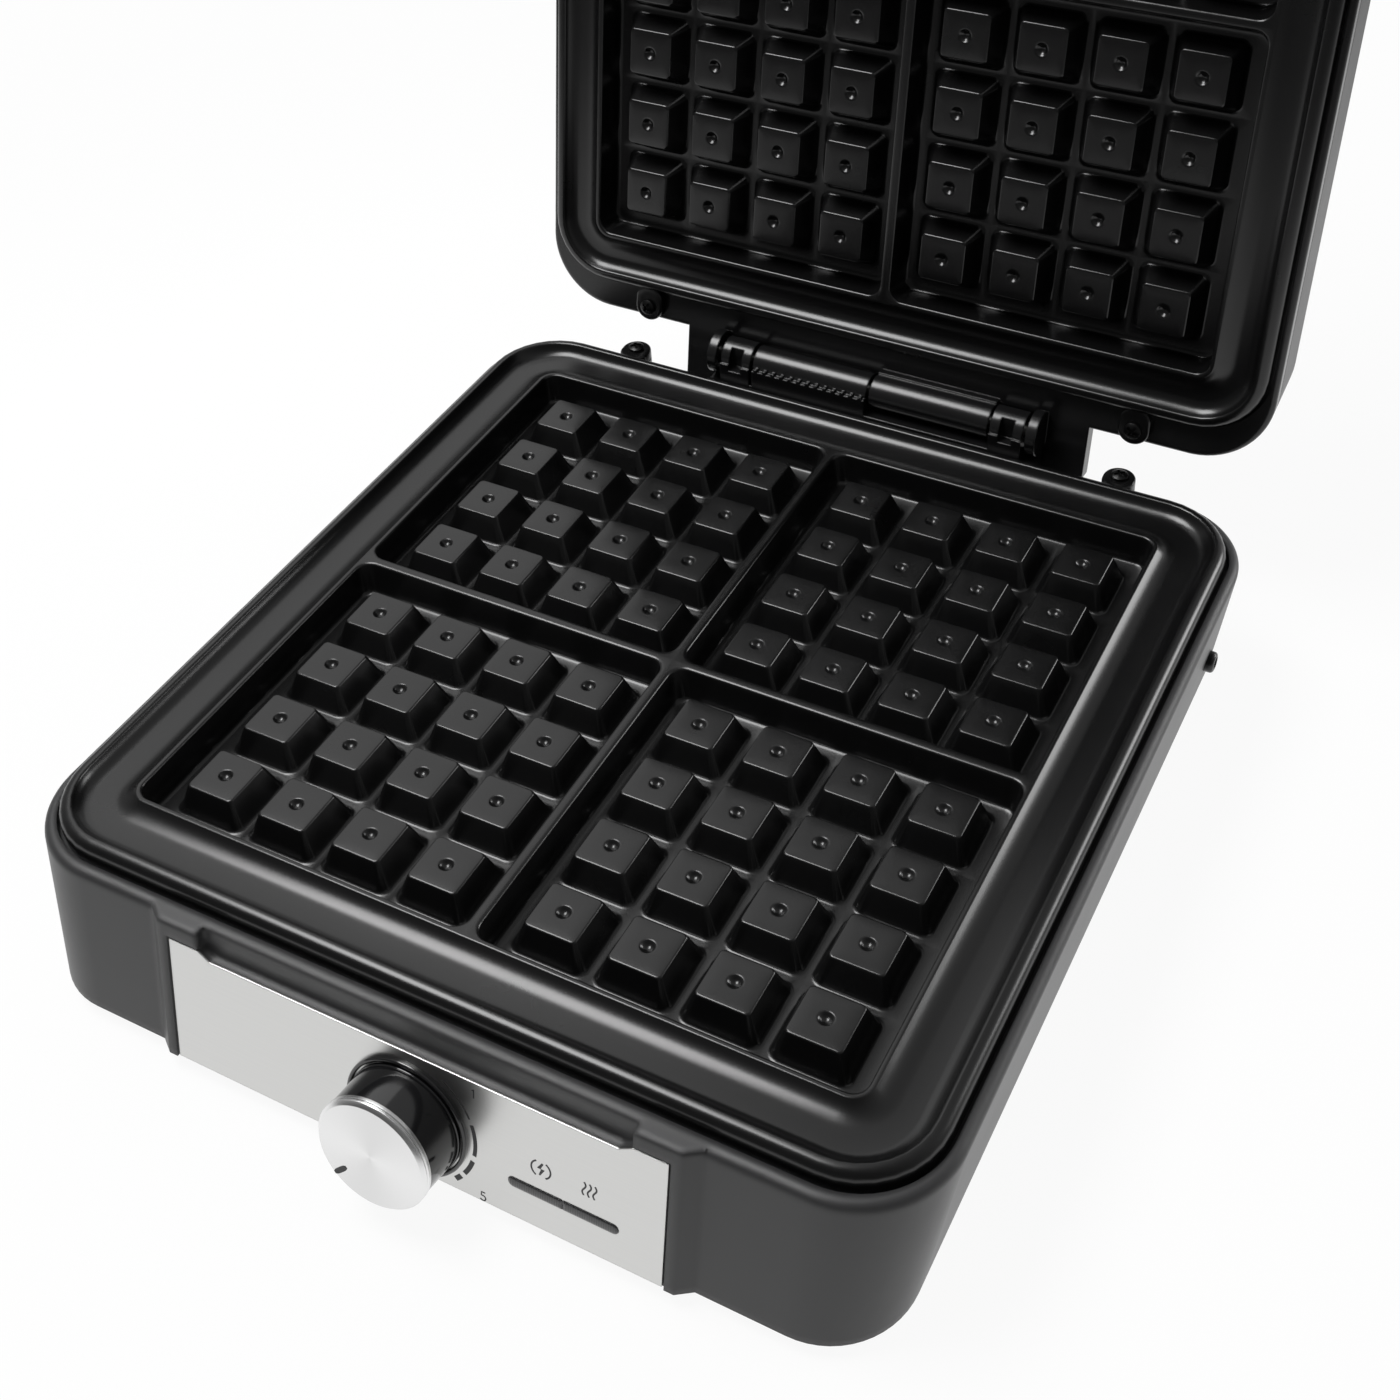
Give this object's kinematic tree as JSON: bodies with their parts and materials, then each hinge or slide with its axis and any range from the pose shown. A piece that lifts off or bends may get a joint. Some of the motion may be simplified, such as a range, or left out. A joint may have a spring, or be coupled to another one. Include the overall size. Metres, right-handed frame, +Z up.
{
  "type": "waffle maker",
  "caption": "Square electric waffle maker with hinged lid, non-stick plates split into quarters, drip gutter, sloping steel control panel with thermostat knob and signal lights.",
  "frame": {"origin": "on the table, under the middle of the object's box with the lid open", "axes": "+Z up, +Y to the back where the hinge is, +X to the right seen from the front"},
  "size_m": [0.2854, 0.4158, 0.3589],
  "materials": {
    "housing_plastic": "fine matte grain",
    "black_plastic": "satin",
    "nonstick": "dark non-stick coating, satin",
    "steel_panel": "brushed along its length",
    "gloss_black": "gloss",
    "knob_metal": "brushed, bright chamfer",
    "light_lens": "smoked",
    "rubber": "matte",
    "screw_steel": "plain",
    "heater_tube": "dull",
    "reflector_sheet": "bright sheet",
    "board": "lacquered board",
    "lamp": "clear",
    "ceramic_block": "pale moulded"
  },
  "bodies": {
    "base": {"base_housing": "housing_plastic", "base_bottom_cover": "black_plastic", "bottom_screws": "screw_steel", "rubber_feet": "rubber", "control_panel": "steel_panel", "knob_bezel": "gloss_black", "power_light_lens": "light_lens", "ready_light_lens": "light_lens", "indicator_board": "board", "indicator_lamps": "lamp", "thermostat": "ceramic_block", "lower_waffle_plate": "nonstick", "lower_waffle_blocks": "nonstick", "lower_plate_screws": "screw_steel", "lower_heating_element": "heater_tube", "lower_heat_reflector": "reflector_sheet", "cord_gland": "black_plastic", "terminal_block": "ceramic_block", "inner_leads": "rubber", "hinge_bracket": "black_plastic", "hinge_bracket_screws": "screw_steel", "hinge_pin": "screw_steel"},
    "lid": {"lid_frame": "black_plastic", "lid_frame_screws": "screw_steel", "lid_cover": "housing_plastic", "lid_handle": "housing_plastic", "lid_handle_screws": "screw_steel", "upper_waffle_plate": "nonstick", "upper_waffle_blocks": "nonstick", "upper_plate_screws": "screw_steel", "upper_heating_element": "heater_tube", "upper_heat_reflector": "reflector_sheet"},
    "knob": {"knob_body": "gloss_black", "knob_cap": "knob_metal", "knob_pointer": "gloss_black", "thermostat_shaft": "screw_steel"}
  },
  "joints": [
    {"name": "lid_hinge", "type": "hinge", "parent": "base", "child": "lid", "pos_m": [0, 0.11493, 0.06], "axis": [1, 0, 0], "range_deg": [0, 100.6]},
    {"name": "knob_turn", "type": "hinge", "parent": "base", "child": "knob", "pos_m": [0.001, -0.18793, 0.02368], "axis": [0, 0.9777, -0.2098], "range_deg": [0, 270]}
  ]
}
